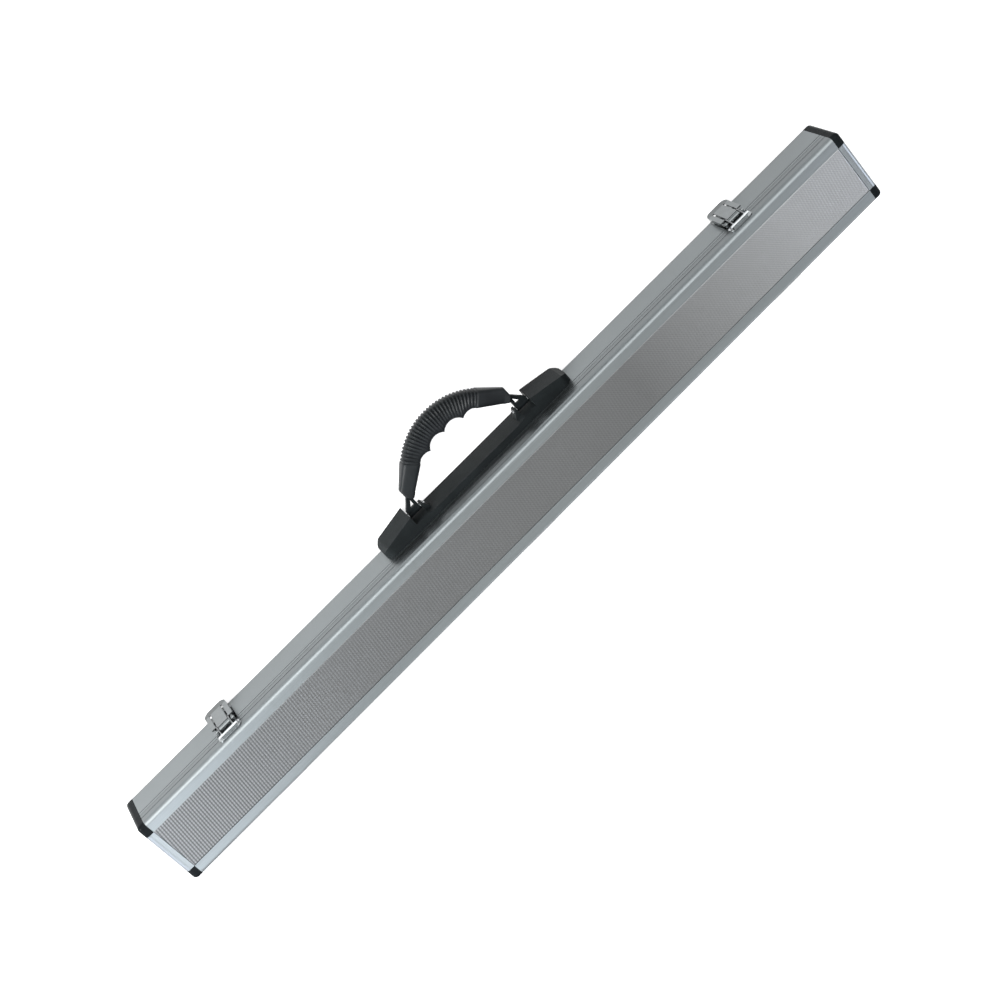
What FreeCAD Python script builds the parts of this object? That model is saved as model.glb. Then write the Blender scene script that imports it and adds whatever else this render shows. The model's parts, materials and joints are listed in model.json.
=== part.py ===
"""Aluminium cue case for a two-piece cue: hinged lid, two draw latches and a folding carry handle.

Frame: +X along the length, -Y the front (handle and latches), +Z from the base up to the lid.
The origin is the middle of the base's resting face. Lengths are in millimetres.
"""
import FreeCAD, Part
import Sketcher
import os
import re

doc = FreeCAD.newDocument("cue_case")
sheet = doc.addObject("Spreadsheet::Sheet", "dims")

DIMENSIONS = {
    # outer shell
    "case_length": 832,
    "case_width": 74,
    "case_height": 52,
    "split_height": 36,
    "split_gap": 0.4,
    "wall": 1.4,
    "lip": 1.2,
    "lip_reach": 12,
    "edge_radius": 4,
    "inner_edge_radius": 2.5,
    "cap_length": 8.5,
    # board slot and inner flanges of the rails
    "board_recess": 0.2,
    "skin": 0.5,
    "board_top": 3.8,
    "board_half_width": 33,
    "board_gap": 0.3,
    "flange_reach": 5,
    "flange_top": 5,
    "tongue_root": 31,
    "tongue_inner": 34.2,
    "tongue_outer": 35.2,
    "tongue_top": 38.2,
    "groove_depth": 0.3,
    "groove_width": 0.8,
    "end_groove_offset": 3.8,
    "base_groove_height": 32.6,
    "lid_groove_height": 41.6,
    # plastic corner caps
    "cap_wall": 2.2,
    "plug_reach": 17,
    "plug_inner": 30.5,
    "plug_outer": 35.5,
    # foam
    "foam_half_length": 396,
    "foam_half_width": 34,
    "foam_top": 35.3,
    "channel_half_length": 382,
    "butt_radius": 16,
    "butt_offset": 15,
    "shaft_radius": 11.5,
    "shaft_offset": 18,
    "channel_floor": 8,
    "pad_half_width": 33.2,
    "pad_bottom": 37,
    # butt hinges with a stop
    "hinge_pitch": 300,
    "hinge_half_width": 16,
    "hinge_middle": 5.8,
    "hinge_leaf": 0.8,
    "hinge_reach": 12,
    "hinge_stand_off": 2,
    "knuckle_radius": 1.8,
    "knuckle_gap": 0.2,
    "hinge_pin_radius": 1,
    "running_gap": 0.05,
    "stop_reach": 2.7,
    "stop_half_height": 0.55,
    "stop_half_width": 4,
    "hinge_rivet_offset": 10,
    "hinge_rivet_rise": 7.5,
    # draw latches
    "latch_offset": 304,
    "latch_plate": 0.8,
    "latch_half_width": 12.2,
    "latch_bottom": 3,
    "latch_top": 35.3,
    "latch_corner": 4,
    "lever_pin_out": 40.9,
    "lever_pin_height": 35.6,
    "lever_pin_radius": 0.9,
    "ear_inner": 8.5,
    "ear_outer": 10.3,
    "lever_pin_end": 10.8,
    "ear_radius": 1.8,
    "lever_inner_face": 42.4,
    "lever_outer_face": 43.4,
    "lever_half_width": 11.75,
    "lever_bottom": 1.2,
    "lever_side_top": 32.4,
    "lever_corner": 6.5,
    "lever_roll": 2.5,
    "lever_flange": 1,
    "tongue_half_width": 5.6,
    "tongue_rise": 0.5,
    "slot_inner": 5.8,
    "slot_outer": 7.3,
    "slot_bottom": 9,
    "hook_pin_out": 41,
    "hook_pin_height": 28,
    "hook_pin_radius": 0.8,
    "hook_lug_radius": 1.4,
    "hook_leg_inner": 6,
    "hook_leg_outer": 7.1,
    "hook_eye_radius": 1.3,
    "hook_leg_half_depth": 0.6,
    "hook_bow_out": 43.25,
    "hook_bow_half_height": 2,
    "hook_bar_radius": 1.1,
    "hook_bar_half_length": 10,
    "hook_bar_height": 46.6,
    "keeper_bottom": 38.4,
    "keeper_top": 48,
    "keeper_corner": 3,
    "keeper_lip_bottom": 43.3,
    "keeper_lip_top": 45.2,
    "keeper_lip_out": 39.4,
    "keeper_lip_half_width": 8,
    # rivets and screws
    "plate_rivet_low": 10,
    "plate_rivet_high": 21,
    "keeper_rivet_offset": 9.4,
    "keeper_rivet_height": 40.6,
    "screw_pitch_outer": 92,
    "screw_pitch_inner": 40,
    "rivet_radius": 1.5,
    "rivet_head_radius": 2.6,
    "rivet_crown_radius": 1.5,
    "rivet_head_height": 1,
    "rivet_tail_radius": 2.2,
    "rivet_tail_height": 0.7,
    "screw_radius": 1.6,
    "screw_head_radius": 4,
    "screw_head_height": 1.3,
    # carry handle
    "handle_half_length": 109,
    "handle_bottom": 3,
    "handle_top": 30.5,
    "handle_corner": 8,
    "handle_bar_rise": 5.6,
    "handle_end_rise": 7,
    "handle_shoulder_rise": 10.2,
    "handle_block_rise": 16,
    "handle_shoulder": 104,
    "saddle_outer": 71.5,
    "saddle_inner": 57.5,
    "saddle_rise": 7.2,
    "hump_rise": 13.4,
    "hump_half_height": 5,
    "hump_width": 2,
    "bar_end": 53,
    "pivot_rise": 11,
    "pivot_height": 16.5,
    "handle_pin_radius": 1.6,
    "pin_hole_inner": 49,
    "handle_pin_inner": 53.5,
    "handle_pin_outer": 78,
    "handle_droop": 6.8,
    "barrel_radius": 2.6,
    "link_half_thickness": 1.9,
    "link_inner": 58.2,
    "link_outer": 70.8,
    "link_heel_outer": 4.2,
    "link_heel_inner": 9.2,
    "link_neck_outer": 14.3,
    "link_neck_inner": 10.8,
    "link_tip_inner": 59.6,
    "link_tip_outer": 62,
    "link_tip_reach": 22,
    "link_frame_inner": 3,
    "link_frame_outer": 5.2,
    "link_window_start": 4.4,
    "link_window_end": 10,
    "grip_arc_radius": 65.3,
    "grip_arc_centre": -8.3,
    "grip_arc_half_span": 45,
    "grip_end": 62.3,
    "grip_half_thickness": 9.5,
    "grip_tip_half_thickness": 4.8,
    "grip_end_reach": 14.8,
    "grip_tip_offset": 57.2,
    "grip_tip_reach": 9,
    "grip_heel_offset": 30,
    "grip_heel_reach": 29.8,
    "grip_end_hollow_offset": 24,
    "grip_end_hollow_reach": 30.6,
    "grip_cusp_offset": 19.2,
    "grip_side_cusp_reach": 28.8,
    "grip_hollow_offset": 9.5,
    "grip_hollow_reach": 35.6,
    "grip_middle_cusp_reach": 31.9,
}

for row, (alias, size) in enumerate(DIMENSIONS.items(), start=1):
    sheet.set(f"A{row}", alias)
    sheet.set(f"B{row}", str(size))
    sheet.setAlias(f"B{row}", alias)
doc.recompute()

parts = []


def bound(formula):
    """Write a formula over the dimension names as a document expression."""
    def cell(match):
        word = match.group()
        return f"dims.{word}" if word in DIMENSIONS else word

    return re.sub(r"[a-z][a-z_]*", cell, formula)


def size(formula):
    """The number that a formula over the dimension names gives now."""
    return float(sheet.evalExpression(bound(formula)))


def join(*terms):
    """Add formulas up, each kept in its own brackets."""
    return " + ".join(f"({term})" for term in terms)


HALF_WIDTH = "case_width / 2"
INNER_WALL = "case_width / 2 - wall"
LIP_EDGE = "case_width / 2 - lip_reach"
HALF_LENGTH = "case_length / 2"
RAIL_END = "case_length / 2 - cap_length"
BASE_TOP = "split_height - split_gap / 2"
LID_BOTTOM = "split_height + split_gap / 2"
HINGE_AXIS = "case_width / 2 + hinge_stand_off"
HANDLE_PIVOT = "case_width / 2 + pivot_rise"


def rectangle(left, right, low, high):
    return [(left, low), (right, low), (right, high), (left, high)]


def add_point_rule(sketch, geometry, point, across, up):
    """Pin one point of a sketch at two formulas measured from the sketch's origin."""
    for kind, formula in (("DistanceX", across), ("DistanceY", up)):
        rule = sketch.addConstraint(Sketcher.Constraint(kind, -1, 1, geometry, point, size(formula)))
        sketch.setExpression(f"Constraints[{rule}]", bound(formula))


def draw_polygon(sketch, corners):
    places = [FreeCAD.Vector(size(across), size(up), 0) for across, up in corners]
    lines = [
        sketch.addGeometry(Part.LineSegment(start, end))
        for start, end in zip(places, places[1:] + places[:1])
    ]
    for line, following in zip(lines, lines[1:] + lines[:1]):
        sketch.addConstraint(Sketcher.Constraint("Coincident", line, 2, following, 1))
    for line, (across, up) in zip(lines, corners):
        add_point_rule(sketch, line, 1, across, up)


def draw_circle(sketch, across, up, radius):
    centre = FreeCAD.Vector(size(across), size(up), 0)
    ring = sketch.addGeometry(Part.Circle(centre, FreeCAD.Vector(0, 0, 1), size(radius)))
    add_point_rule(sketch, ring, 3, across, up)
    rule = sketch.addConstraint(Sketcher.Constraint("Radius", ring, size(radius)))
    sketch.setExpression(f"Constraints[{rule}]", bound(radius))


class Piece:
    """A PartDesign body made of prisms that stand on its own origin planes.

    XY_Plane prisms rise along +Z, YZ_Plane prisms along +X, and XZ_Plane prisms along -Y, so a
    level on XZ_Plane is a distance out from the middle of the case towards the front.
    """

    def __init__(self, label):
        self.body = doc.addObject("PartDesign::Body", label)
        self.body.Label = label
        parts.append(self.body)

    def sketch(self, plane, level, outlines):
        sketch = self.body.newObject("Sketcher::SketchObject", f"{self.body.Label}_sketch")
        origin_plane = [item for item in self.body.Origin.OriginFeatures if item.Role == plane][0]
        sketch.AttachmentSupport = [(origin_plane, "")]
        sketch.MapMode = "FlatFace"
        sketch.setExpression("AttachmentOffset.Base.z", bound(level))
        for outline in outlines:
            if isinstance(outline, list):
                draw_polygon(sketch, outline)
            else:
                draw_circle(sketch, *outline)
        return sketch

    def grow(self, kind, plane, low, high, outlines):
        profile = self.sketch(plane, low, outlines)
        feature = self.body.newObject(f"PartDesign::{kind}", f"{self.body.Label}_{kind.lower()}")
        feature.Profile = profile
        feature.setExpression("Length", bound(f"({high}) - ({low})"))
        return feature

    def add(self, plane, low, high, *outlines):
        self.grow("Pad", plane, low, high, outlines)
        return self

    def cut(self, plane, low, high, *outlines):
        doc.recompute()
        before = self.body.Shape.Volume
        pocket = self.grow("Pocket", plane, low, high, outlines)
        pocket.Reversed = True
        doc.recompute()
        if self.body.Shape.Volume > before - 0.001:
            raise RuntimeError(f"a pocket of {self.body.Label} cuts nothing")
        return self

    def round(self, radius, is_edge):
        """Fillet the edges whose middle point passes the test."""
        doc.recompute()
        base = self.body.Tip
        names = [
            f"Edge{number}"
            for number, edge in enumerate(base.Shape.Edges, start=1)
            if is_edge(edge, edge.CenterOfMass)
        ]
        if not names:
            raise RuntimeError(f"no edge of {self.body.Label} to round")
        fillet = self.body.newObject("PartDesign::Fillet", f"{self.body.Label}_fillet")
        fillet.Base = (base, names)
        fillet.setExpression("Radius", bound(radius))
        return self


def near(first, second):
    return abs(first - second) < 0.01


def along(edge, axis):
    """Whether a straight edge runs along one axis: 0, 1 or 2 for X, Y or Z."""
    spans = [edge.BoundBox.XLength, edge.BoundBox.YLength, edge.BoundBox.ZLength]
    return all(near(span, 0) for number, span in enumerate(spans) if number != axis)


SIDES = ((-1, "front"), (1, "back"))
ENDS = ((-1, "left"), (1, "right"))


def from_base(height):
    return height


def from_lid(height):
    """The same distance measured down from the top of the lid."""
    return f"case_height - ({height})"


# ---------------------------------------------------------------- shell


def round_long_edge(piece, side, outer_height, inner_height):
    """Round a rail's outer long edge, and the inside of the wall behind it."""
    outer, inner = side * size(HALF_WIDTH), side * size(INNER_WALL)
    outer_level, inner_level = size(outer_height), size(inner_height)
    piece.round("edge_radius", lambda edge, mid: near(mid.y, outer) and near(mid.z, outer_level))
    piece.round("inner_edge_radius", lambda edge, mid: near(mid.y, inner) and near(mid.z, inner_level))


def rail_section(side, height, rim):
    """A long rail's section from its lip round to the given rim points."""
    section = [
        (HALF_WIDTH, height("0")),
        (LIP_EDGE, height("0")),
        (LIP_EDGE, height("lip")),
        (INNER_WALL, height("lip")),
        (INNER_WALL, height("board_top")),
        (f"{INNER_WALL} - flange_reach", height("board_top")),
        (f"{INNER_WALL} - flange_reach", height("flange_top")),
        (INNER_WALL, height("flange_top")),
    ] + rim
    return [(f"{side} * ({across})", up) for across, up in section]


def groove(height):
    """The four corners of a shallow groove along the outside of a wall, from the top down."""
    top, bottom = f"{height} + groove_width / 2", f"{height} - groove_width / 2"
    floor = f"{HALF_WIDTH} - groove_depth"
    return [(HALF_WIDTH, top), (floor, top), (floor, bottom), (HALF_WIDTH, bottom)]


def base_rail(side, name, holes):
    rim = [
        (INNER_WALL, "tongue_root"),
        ("tongue_inner", "tongue_root + wall"),
        ("tongue_inner", "tongue_top"),
        ("tongue_outer", "tongue_top"),
        ("tongue_outer", BASE_TOP),
        (HALF_WIDTH, BASE_TOP),
    ]
    rail = Piece(f"base_{name}_rail")
    outline = rail_section(side, from_base, rim + groove("base_groove_height"))
    rail.add("YZ_Plane", f"-({RAIL_END})", RAIL_END, outline)
    round_long_edge(rail, side, "0", "lip")
    drill_wall(rail, side, holes)


def lid_rail(side, name, holes):
    rim = [(INNER_WALL, LID_BOTTOM), (HALF_WIDTH, LID_BOTTOM)]
    rail = Piece(f"lid_{name}_rail")
    outline = rail_section(side, from_lid, rim + groove("lid_groove_height")[::-1])
    rail.add("YZ_Plane", f"-({RAIL_END})", RAIL_END, outline)
    round_long_edge(rail, side, "case_height", "case_height - lip")
    drill_wall(rail, side, holes)


def drill_wall(piece, side, holes):
    """Drill round holes, each (x, z, radius), through the front or back wall."""
    depths = ("tongue_inner - 1", f"{HALF_WIDTH} + 1")
    low, high = depths if side < 0 else (f"-({depths[1]})", f"-({depths[0]})")
    piece.cut("XZ_Plane", low, high, *holes)


def panel(half_name, height):
    """A board rebated along both long edges, and the embossed skin bonded to its face.

    The rebates slide under the rails' lips, so that the skin lies just inside the lips' surface.
    """
    face_edge = f"{LIP_EDGE} - board_gap / 3"
    end = f"{RAIL_END} - board_gap"
    skin_back = height("board_recess + skin")
    half = [
        (face_edge, skin_back),
        (face_edge, height("lip")),
        ("board_half_width", height("lip")),
        ("board_half_width", height("board_top")),
    ]
    mirrored = [(f"-({across})", up) for across, up in half[::-1]]
    Piece(f"{half_name}_board").add("YZ_Plane", f"-({end})", end, half + mirrored)
    skin = rectangle(f"-({face_edge})", face_edge, height("board_recess"), skin_back)
    Piece(f"{half_name}_panel_skin").add("YZ_Plane", f"-({end})", end, skin)


def end_rail(half_name, end, name, height, rim_height):
    """The extrusion across one end of a half, between its two corner caps."""
    end_wall = f"{HALF_LENGTH} - wall"
    groove_middle = f"{RAIL_END} + end_groove_offset"
    section = [
        (HALF_LENGTH, height("0")),
        (f"{groove_middle} + groove_width / 2", height("0")),
        (f"{groove_middle} + groove_width / 2", height("groove_depth")),
        (f"{groove_middle} - groove_width / 2", height("groove_depth")),
        (f"{groove_middle} - groove_width / 2", height("0")),
        (RAIL_END, height("0")),
        (RAIL_END, height("lip")),
        (end_wall, height("lip")),
        (end_wall, height("board_top")),
        (f"{RAIL_END} - board_gap * 6", height("board_top")),
        (f"{RAIL_END} - board_gap * 6", height("flange_top")),
        (end_wall, height("flange_top")),
        (end_wall, rim_height),
        (HALF_LENGTH, rim_height),
    ]
    half_span = f"{LIP_EDGE} - board_gap / 3"
    outer, inner = end * size(HALF_LENGTH), end * size(end_wall)
    edge_height, lip_height = size(height("0")), size(height("lip"))
    rail = Piece(f"{half_name}_{name}_end_rail")
    outline = [(f"{end} * ({across})", up) for across, up in section]
    rail.add("XZ_Plane", f"-({half_span})", half_span, outline)
    rail.round("edge_radius", lambda edge, mid: near(mid.x, outer) and near(mid.z, edge_height))
    rail.round("inner_edge_radius", lambda edge, mid: near(mid.x, inner) and near(mid.z, lip_height))


def corner_cap(half_name, side, side_name, end, end_name, height, rim_height, plug_heights):
    """A hollow plastic corner with a plug that pushes into the long rail."""
    outer_x, outer_y = end * size(HALF_LENGTH), side * size(HALF_WIDTH)
    face = size(height("0"))

    def span(low, high, sign):
        return [f"{sign} * ({edge})" for edge in ((low, high) if sign > 0 else (high, low))]

    def levels(near_face, rim):
        return (near_face, rim) if size(near_face) < size(rim) else (rim, near_face)

    def is_outer(edge, mid):
        upright = along(edge, 2) and near(mid.x, outer_x) and near(mid.y, outer_y)
        on_face = near(mid.z, face) and (near(mid.x, outer_x) or near(mid.y, outer_y))
        return upright or on_face

    cap = Piece(f"{half_name}_{side_name}_{end_name}_corner")
    outside = rectangle(*span(RAIL_END, HALF_LENGTH, end), *span(LIP_EDGE, HALF_WIDTH, side))
    cap.add("XY_Plane", *levels(height("0"), rim_height), outside)
    cap.round("edge_radius", is_outer)
    hollow_x = span(f"{RAIL_END} - 1", f"{HALF_LENGTH} - cap_wall", end)
    hollow_y = span(f"{LIP_EDGE} - 1", f"{HALF_WIDTH} - cap_wall", side)
    beyond_rim = height(f"{height(rim_height)} + 1")
    cap.cut("XY_Plane", *levels(height("cap_wall"), beyond_rim), rectangle(*hollow_x, *hollow_y))
    plug_x = span(f"{HALF_LENGTH} - plug_reach", f"{HALF_LENGTH} - cap_wall - 1", end)
    plug_y = span("plug_inner", "plug_outer", side)
    cap.add("XY_Plane", *plug_heights, rectangle(*plug_x, *plug_y))


def foam_insert():
    """The lower lining, with a channel for the butt and a narrower one for the shaft."""
    insert = Piece("base_foam_insert")
    width = rectangle("-foam_half_width", "foam_half_width", "flange_top", "foam_top")
    insert.add("YZ_Plane", "-foam_half_length", "foam_half_length", width)
    for middle, radius in (("-butt_offset", "butt_radius"), ("shaft_offset", "shaft_radius")):
        axis_height = f"channel_floor + {radius}"
        sides = (f"{middle} - {radius}", f"{middle} + {radius}")
        walls = rectangle(*sides, axis_height, "foam_top + 1")
        ends = ("-channel_half_length", "channel_half_length")
        insert.cut("YZ_Plane", *ends, (middle, axis_height, radius))
        insert.cut("YZ_Plane", *ends, walls)


def foam_pad():
    pad = Piece("lid_foam_pad")
    heights = ("pad_bottom", "case_height - flange_top")
    section = rectangle("-pad_half_width", "pad_half_width", *heights)
    pad.add("YZ_Plane", "-foam_half_length", "foam_half_length", section)


# ---------------------------------------------------------------- rivets and screws


def axle(label, start, end, radius, out, height):
    """A round pin along X at a given distance out from the middle plane."""
    pin = doc.addObject("Part::Cylinder", label)
    pin.Label = label
    pin.Placement = FreeCAD.Placement(
        FreeCAD.Vector(size(start), size(out), size(height)),
        FreeCAD.Rotation(FreeCAD.Vector(0, 1, 0), 90),
    )
    pin.setExpression("Placement.Base.x", bound(start))
    pin.setExpression("Placement.Base.y", bound(out))
    pin.setExpression("Placement.Base.z", bound(height))
    pin.setExpression("Radius", bound(radius))
    pin.setExpression("Height", bound(f"({end}) - ({start})"))
    return pin


def fastener(name, side, place, seat, stages):
    """A turned fastener through the wall at (x, z): stages are (length, start radius, end radius).

    It starts at the distance `seat` from the middle plane and grows outwards on the given side.
    """
    across, up = place
    pieces = []
    distance = seat
    for length, start_radius, end_radius in stages:
        stage = doc.addObject("Part::Cone", f"{name}_stage")
        stage.Placement.Rotation = FreeCAD.Rotation(FreeCAD.Vector(1, 0, 0), -90 * side)
        stage.setExpression("Placement.Base.x", bound(across))
        stage.setExpression("Placement.Base.y", bound(f"{side} * ({distance})"))
        stage.setExpression("Placement.Base.z", bound(up))
        stage.setExpression("Height", bound(length))
        stage.setExpression("Radius1", bound(start_radius))
        stage.setExpression("Radius2", bound(end_radius))
        pieces.append(stage)
        distance = join(distance, length)
    whole = doc.addObject("Part::MultiFuse", name)
    whole.Shapes = pieces
    return whole


def fastener_group(label, members):
    group = doc.addObject("Part::Compound", label)
    group.Label = label
    group.Links = members
    parts.append(group)


def rivet_group(label, side, places, plate):
    """Domed rivets through an outer plate and the wall, set from inside."""
    stages = [
        ("rivet_tail_height", "rivet_tail_radius", "rivet_tail_radius - 0.001"),
        (f"wall + {plate}", "rivet_radius", "rivet_radius - 0.001"),
        ("rivet_head_height", "rivet_head_radius", "rivet_crown_radius"),
    ]
    seat = f"{INNER_WALL} - rivet_tail_height"
    members = [fastener(f"{label}_one", side, place, seat, stages) for place in places]
    fastener_group(label, members)


# ---------------------------------------------------------------- hinges

HINGE_ROWS = {"base": "split_height - hinge_rivet_rise", "lid": "split_height + hinge_rivet_rise"}


def hinge_rivets(position, half_name):
    """The two rivet places of one leaf, as (x, z)."""
    return [
        (f"{position} * hinge_pitch + {hand} * hinge_rivet_offset", HINGE_ROWS[half_name])
        for hand in (-1, 1)
    ]


def hinge_places(half_name):
    return [place for position in (-1, 0, 1) for place in hinge_rivets(position, half_name)]


def holes_at(places, radius):
    return [(across, up, radius) for across, up in places]


def hinge(position, name):
    """One butt hinge: a base leaf with two outer knuckles, a lid leaf with the middle one, and a pin."""
    middle = f"{position} * hinge_pitch"
    leaf = (f"-({HALF_WIDTH} + hinge_leaf)", f"-({HALF_WIDTH})")
    ring = (HINGE_AXIS, "split_height", "knuckle_radius")
    below = "split_height - knuckle_radius - knuckle_gap"
    above = "split_height + knuckle_radius + knuckle_gap"
    leaf_edges = (f"{middle} - hinge_half_width", f"{middle} + hinge_half_width")

    base_leaf = Piece(f"hinge_{name}_base_leaf")
    plate = rectangle(*leaf_edges, "split_height - hinge_reach", below)
    base_leaf.add("XZ_Plane", *leaf, plate, *holes_at(hinge_rivets(position, "base"), "rivet_radius"))
    knuckles = (
        (leaf_edges[0], f"{middle} - hinge_middle - knuckle_gap"),
        (f"{middle} + hinge_middle + knuckle_gap", leaf_edges[1]),
    )
    for low, high in knuckles:
        base_leaf.add("XZ_Plane", *leaf, rectangle(low, high, below, "split_height"))
        base_leaf.add("YZ_Plane", low, high, ring)
    bore = (HINGE_AXIS, "split_height", "hinge_pin_radius")
    base_leaf.cut("YZ_Plane", f"{leaf_edges[0]} - 1", f"{leaf_edges[1]} + 1", bore)

    lid_leaf = Piece(f"hinge_{name}_lid_leaf")
    plate = rectangle(*leaf_edges, above, "split_height + hinge_reach")
    lid_leaf.add("XZ_Plane", *leaf, plate, *holes_at(hinge_rivets(position, "lid"), "rivet_radius"))
    low, high = f"{middle} - hinge_middle", f"{middle} + hinge_middle"
    lid_leaf.add("XZ_Plane", *leaf, rectangle(low, high, "split_height", above))
    lid_leaf.add("YZ_Plane", low, high, ring)
    stop = rectangle(
        f"{HINGE_AXIS} + hinge_pin_radius + knuckle_gap",
        f"{HINGE_AXIS} + stop_reach",
        "split_height - stop_half_height",
        "split_height + stop_half_height",
    )
    lid_leaf.add("YZ_Plane", f"{middle} - stop_half_width", f"{middle} + stop_half_width", stop)
    bore = (HINGE_AXIS, "split_height", "hinge_pin_radius + running_gap")
    lid_leaf.cut("YZ_Plane", f"{low} - 1", f"{high} + 1", bore)

    pin = axle(f"hinge_{name}_pin", *leaf_edges, "hinge_pin_radius", HINGE_AXIS, "split_height")
    parts.append(pin)


# ---------------------------------------------------------------- latches

PLATE_RIVETS = (("0", "plate_rivet_low"), ("0", "plate_rivet_high"))
KEEPER_RIVETS = (
    ("-keeper_rivet_offset", "keeper_rivet_height"),
    ("0", "keeper_rivet_height"),
    ("keeper_rivet_offset", "keeper_rivet_height"),
)
PLATE_FACE = f"{HALF_WIDTH} + latch_plate"
LEVER_AXIS = ("-lever_pin_out", "lever_pin_height")
HOOK_AXIS = ("-hook_pin_out", "hook_pin_height")


def beside(end, *offsets):
    """Distances along X measured from the middle of the latch at one end."""
    return [join(f"{end} * latch_offset", offset) for offset in offsets]


def latch_places(end, places):
    return [(beside(end, across)[0], up) for across, up in places]


def all_latch_places(places):
    return [place for end, _ in ENDS for place in latch_places(end, places)]


def pair_of_spans(end, inner, outer):
    """The same span on both sides of a latch's middle."""
    return [beside(end, inner, outer), beside(end, f"-({outer})", f"-({inner})")]


def is_corner_at(height):
    """A test for the short edges through a plate at one height."""
    level = size(height)
    return lambda edge, mid: along(edge, 1) and near(mid.z, level)


def latch_plate(end, name):
    """The riveted plate, with two round ears that hold the lever's pin."""
    plate = Piece(f"latch_{name}_plate")
    sides = beside(end, "-latch_half_width", "latch_half_width")
    plate.add("XZ_Plane", HALF_WIDTH, PLATE_FACE, rectangle(*sides, "latch_bottom", "latch_top"))
    plate.round("latch_corner", is_corner_at("latch_bottom"))
    rivet_holes = holes_at(latch_places(end, PLATE_RIVETS), "rivet_radius")
    plate.cut("XZ_Plane", f"{HALF_WIDTH} - 1", f"{PLATE_FACE} + 1", *rivet_holes)
    ear = [
        (f"-({PLATE_FACE}) + latch_plate / 2", "lever_pin_height - ear_radius"),
        (LEVER_AXIS[0], "lever_pin_height - ear_radius"),
        (LEVER_AXIS[0], "lever_pin_height + ear_radius"),
        (f"-({PLATE_FACE})", "lever_pin_height + ear_radius"),
        (f"-({PLATE_FACE}) + latch_plate / 2", "latch_top"),
    ]
    for low, high in pair_of_spans(end, "ear_inner", "ear_outer"):
        plate.add("YZ_Plane", low, high, ear)
        plate.add("YZ_Plane", low, high, (*LEVER_AXIS, "ear_radius"))
    bore_ends = beside(end, "-latch_half_width - 1", "latch_half_width + 1")
    plate.cut("YZ_Plane", *bore_ends, (*LEVER_AXIS, "lever_pin_radius"))


def latch_lever(end, name):
    """The finger lever: a raised tongue, rolled round its pin, between two shorter side limbs."""
    lever = Piece(f"latch_{name}_lever")
    faces = ("lever_inner_face", "lever_outer_face")
    sides = beside(end, "-lever_half_width", "lever_half_width")
    lever.add("XZ_Plane", *faces, rectangle(*sides, "lever_bottom", "lever_side_top"))
    lever.round("lever_corner", is_corner_at("lever_bottom"))
    tongue_sides = beside(end, "-tongue_half_width", "tongue_half_width")
    tongue = rectangle(*tongue_sides, "slot_bottom", "lever_pin_height")
    lever.add("XZ_Plane", "lever_inner_face", "lever_outer_face + tongue_rise", tongue)
    lever.add("YZ_Plane", *tongue_sides, (*LEVER_AXIS, "lever_roll"))
    for low, high in pair_of_spans(end, "slot_inner", "slot_outer"):
        slot = rectangle(low, high, "slot_bottom", "lever_pin_height")
        lever.cut("XZ_Plane", "lever_inner_face - 1", "lever_outer_face + 1", slot)
    flange_heights = ("lever_bottom + lever_corner", "hook_pin_height + hook_lug_radius")
    for low, high in pair_of_spans(end, "lever_half_width - lever_flange", "lever_half_width"):
        flange = rectangle(low, high, *flange_heights)
        lever.add("XZ_Plane", "lever_inner_face - 2 * lever_flange", "lever_inner_face", flange)
    lug_heights = ("hook_pin_height - hook_lug_radius", "hook_pin_height + hook_lug_radius")
    lug = rectangle("-lever_inner_face", "-hook_pin_out", *lug_heights)
    for low, high in pair_of_spans(end, "slot_outer + lever_flange / 5", "slot_outer + lever_flange"):
        lever.add("YZ_Plane", low, high, lug)
        lever.add("YZ_Plane", low, high, (*HOOK_AXIS, "hook_lug_radius"))
    bore_ends = beside(end, "-latch_half_width - 1", "latch_half_width + 1")
    lever.cut("YZ_Plane", *bore_ends, (*LEVER_AXIS, "lever_pin_radius + running_gap"))
    lever.cut("YZ_Plane", *bore_ends, (*HOOK_AXIS, "hook_pin_radius"))


def latch_hook(end, name):
    """Two bowed legs hung on the lever, joined by the bar that draws the keeper down."""
    hook = Piece(f"latch_{name}_hook")
    bow = [
        HOOK_AXIS,
        ("-hook_bow_out", "lever_pin_height - hook_bow_half_height"),
        ("-hook_bow_out", "lever_pin_height + hook_bow_half_height"),
        ("-lever_pin_out", "hook_bar_height"),
    ]
    front = [(f"{out} - hook_leg_half_depth", up) for out, up in bow]
    back = [(f"{out} + hook_leg_half_depth", up) for out, up in bow[::-1]]
    for low, high in pair_of_spans(end, "hook_leg_inner", "hook_leg_outer"):
        hook.add("YZ_Plane", low, high, front + back)
        hook.add("YZ_Plane", low, high, (*HOOK_AXIS, "hook_eye_radius"))
    bar_ends = beside(end, "-hook_bar_half_length", "hook_bar_half_length")
    hook.add("YZ_Plane", *bar_ends, ("-lever_pin_out", "hook_bar_height", "hook_bar_radius"))
    hook.cut("YZ_Plane", *bar_ends, (*HOOK_AXIS, "hook_pin_radius + running_gap"))


def latch_pins(end, name):
    lever_pin_ends = beside(end, "-lever_pin_end", "lever_pin_end")
    hook_pin_ends = beside(end, "-slot_outer - lever_flange", "slot_outer + lever_flange")
    parts.append(axle(f"latch_{name}_lever_pin", *lever_pin_ends, "lever_pin_radius", *LEVER_AXIS))
    parts.append(axle(f"latch_{name}_hook_pin", *hook_pin_ends, "hook_pin_radius", *HOOK_AXIS))


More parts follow.
